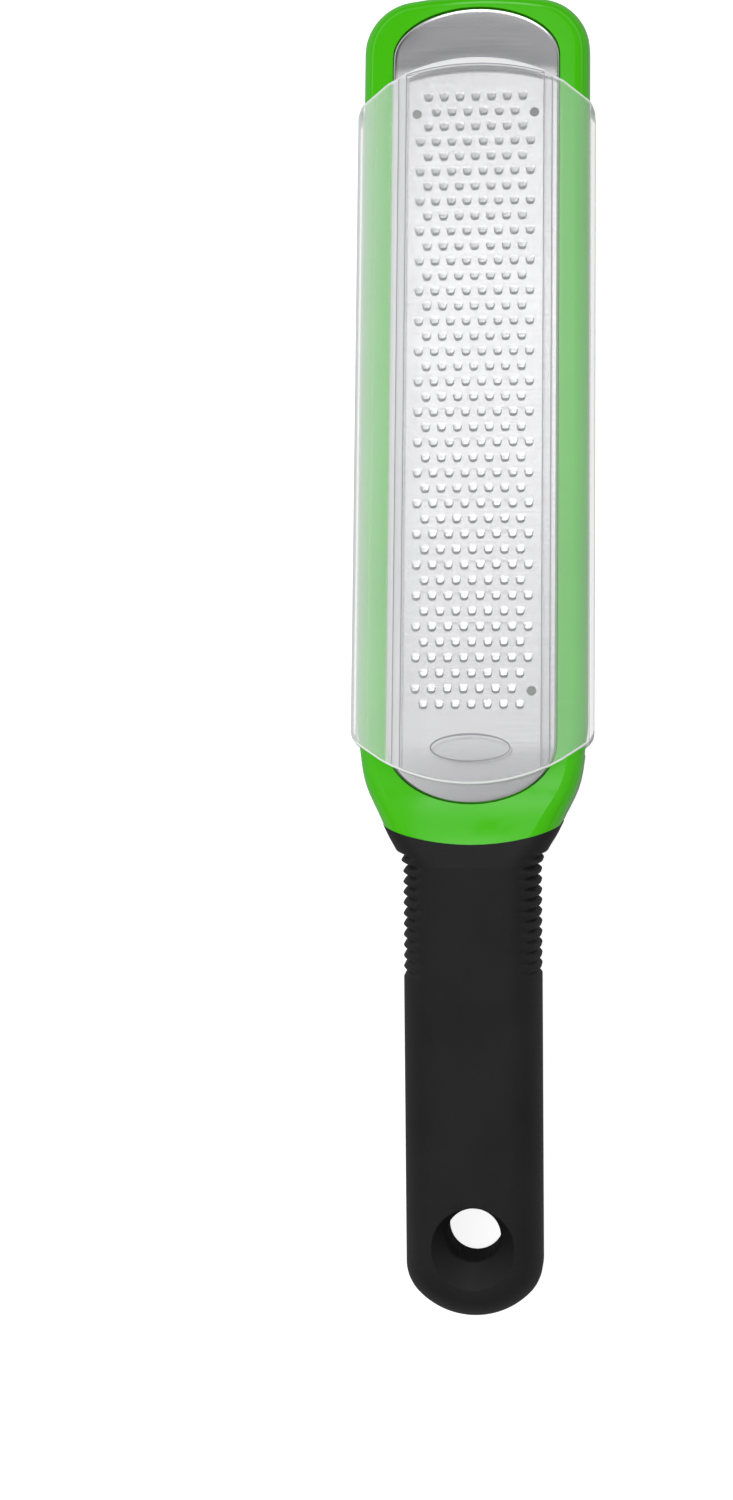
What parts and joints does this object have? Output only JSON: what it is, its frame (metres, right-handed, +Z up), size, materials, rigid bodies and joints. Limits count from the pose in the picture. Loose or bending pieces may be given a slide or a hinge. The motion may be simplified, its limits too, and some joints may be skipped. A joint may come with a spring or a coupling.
{
  "type": "rasp zester",
  "caption": "Rasp zester: an etched steel blade in a plastic frame, a soft finned handle with a hang hole, a tip foot and a clear cover that slides off.",
  "frame": {"origin": "centre of the tool's length and width, on the surface that it lies on", "axes": "+Y from the handle's butt to the tip, +Z up out of the teeth, +X to the right when the tip points away"},
  "size_m": [0.0572, 0.3174, 0.0374],
  "materials": {
    "steel": "brushed along the width, with etched teeth",
    "green_plastic": "smooth glossy green moulding",
    "black_rubber": "matte soft black moulding",
    "clear_plastic": "clear polished moulding"
  },
  "bodies": {
    "zester": {"blade": "steel", "bezel": "green_plastic", "frame": "green_plastic", "grip": "black_rubber", "tip_foot": "black_rubber"},
    "cover": {"cover": "clear_plastic"}
  },
  "joints": [
    {"name": "cover_slide", "type": "slide", "parent": "zester", "child": "cover", "axis": [0, 0.9976, -0.0698], "range_m": [0, 0.195]}
  ]
}
